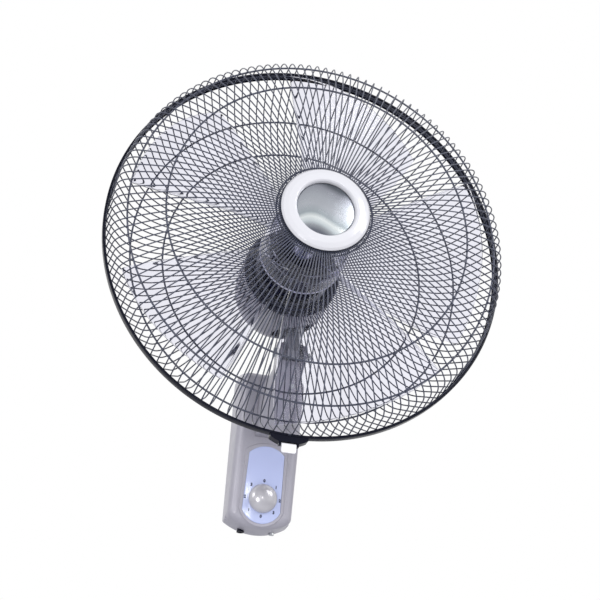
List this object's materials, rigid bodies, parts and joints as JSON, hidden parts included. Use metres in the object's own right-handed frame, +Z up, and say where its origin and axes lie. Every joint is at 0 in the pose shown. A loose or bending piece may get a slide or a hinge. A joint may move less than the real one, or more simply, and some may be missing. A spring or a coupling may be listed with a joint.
{
  "type": "wall mounted fan",
  "caption": "Oscillating wall fan: round wire guards over a clear five-blade impeller, motor head on a tilting neck, slim wall base with a rotary speed knob.",
  "frame": {"origin": "centre of the wall bracket's four screw holes, on the wall plane", "axes": "+Y into the wall, -Y the front, +Z up, +X the viewer's right"},
  "size_m": [0.4346, 0.3522, 0.4667],
  "materials": {
    "silver_plastic": "satin silver-grey with a lilac tint",
    "zinc_steel": "zinc plated",
    "panel_blue": "pale periwinkle, glossy",
    "dark_plastic": "glossy black",
    "grey_plastic": "moulded grey",
    "cast_grey": "die cast",
    "core_steel": "sheet steel",
    "copper_wire": "enamelled copper",
    "guard_wire": "dark slate powder coat",
    "white_plastic": "glossy white",
    "badge_silver": "bare silver disc",
    "knob_pearl": "pearl grey",
    "smoke_clear": "clear with a smoky lilac tint"
  },
  "bodies": {
    "wall_base": {"wall_bracket": "zinc_steel", "base_rear_shell": "silver_plastic", "base_front_cover": "silver_plastic", "base_screws": "zinc_steel", "lock_screw": "zinc_steel", "foot_screws": "zinc_steel", "control_panel": "panel_blue", "inlet_gland": "dark_plastic", "speed_switch": "dark_plastic", "switch_nut": "zinc_steel", "capacitor": "dark_plastic", "terminal_block": "grey_plastic", "neck_arm": "silver_plastic", "neck_screws": "zinc_steel", "tilt_bolt": "zinc_steel", "tilt_nut": "zinc_steel", "tilt_washers": "grey_plastic"},
    "tilting_block": {"tilt_block": "cast_grey", "pivot_bush": "grey_plastic", "post_screw": "zinc_steel"},
    "head": {"gearbox_body": "cast_grey", "gearbox_lid": "grey_plastic", "gearbox_screws": "zinc_steel", "pivot_post": "zinc_steel", "motor_front_bell": "cast_grey", "motor_rear_bell": "cast_grey", "bell_bolts": "zinc_steel", "stator_core": "core_steel", "stator_windings": "copper_wire", "front_bearing": "zinc_steel", "rear_bearing": "zinc_steel", "motor_cover": "silver_plastic", "cover_screw": "zinc_steel", "rear_guard_wires": "guard_wire", "rear_guard_rings": "guard_wire", "rear_guard_plate": "core_steel", "guard_nut": "dark_plastic", "guard_band": "dark_plastic", "band_clamp": "dark_plastic", "clamp_screw": "zinc_steel", "clip_pin": "zinc_steel", "front_guard_wires_left": "guard_wire", "front_guard_wires_right": "guard_wire", "front_guard_rings": "guard_wire", "front_hub_plate": "core_steel", "badge_ring": "white_plastic", "badge_disc": "badge_silver"},
    "rotor": {"motor_shaft": "zinc_steel", "rotor_core": "cast_grey", "worm": "core_steel", "fan_blade": "smoke_clear", "blade_nut": "smoke_clear", "drive_pin": "zinc_steel"},
    "drive_wheel": {"worm_wheel": "dark_plastic"},
    "clutch": {"clutch_shaft": "zinc_steel", "clutch_knob": "silver_plastic"},
    "speed_dial": {"speed_knob": "knob_pearl", "switch_shaft": "zinc_steel"},
    "clip": {"guard_clip": "white_plastic"}
  },
  "joints": [
    {"name": "tilt", "type": "hinge", "parent": "wall_base", "child": "tilting_block", "pos_m": [0, -0.143, 0.074], "axis": [1, 0, 0], "range_deg": [-10, 30]},
    {"name": "oscillate", "type": "hinge", "parent": "tilting_block", "child": "head", "pos_m": [0, -0.143, 0.1], "axis": [0, 0, 1], "range_deg": [-40, 40]},
    {"name": "fan_spin", "type": "hinge", "parent": "head", "child": "rotor", "pos_m": [-0.0165, -0.262, 0.15], "axis": [0, 1, 0], "continuous": true},
    {"name": "wheel_spin", "type": "hinge", "parent": "head", "child": "drive_wheel", "pos_m": [-0.031, -0.143, 0.15], "axis": [0, 0, 1], "continuous": true},
    {"name": "clutch_pull", "type": "slide", "parent": "drive_wheel", "child": "clutch", "axis": [0, 0, 1], "range_m": [0, 0.007]},
    {"name": "speed_turn", "type": "hinge", "parent": "wall_base", "child": "speed_dial", "pos_m": [0, -0.0389, -0.0654], "axis": [0, -0.9903, -0.1392], "continuous": true},
    {"name": "clip_flip", "type": "hinge", "parent": "head", "child": "clip", "pos_m": [-0.0204, -0.2642, -0.0759], "axis": [1, 0, 0], "range_deg": [-25, 0]}
  ],
  "couplings": [
    {"joint": "wheel_spin", "follows": "fan_spin", "ratio": 0.041667}
  ]
}
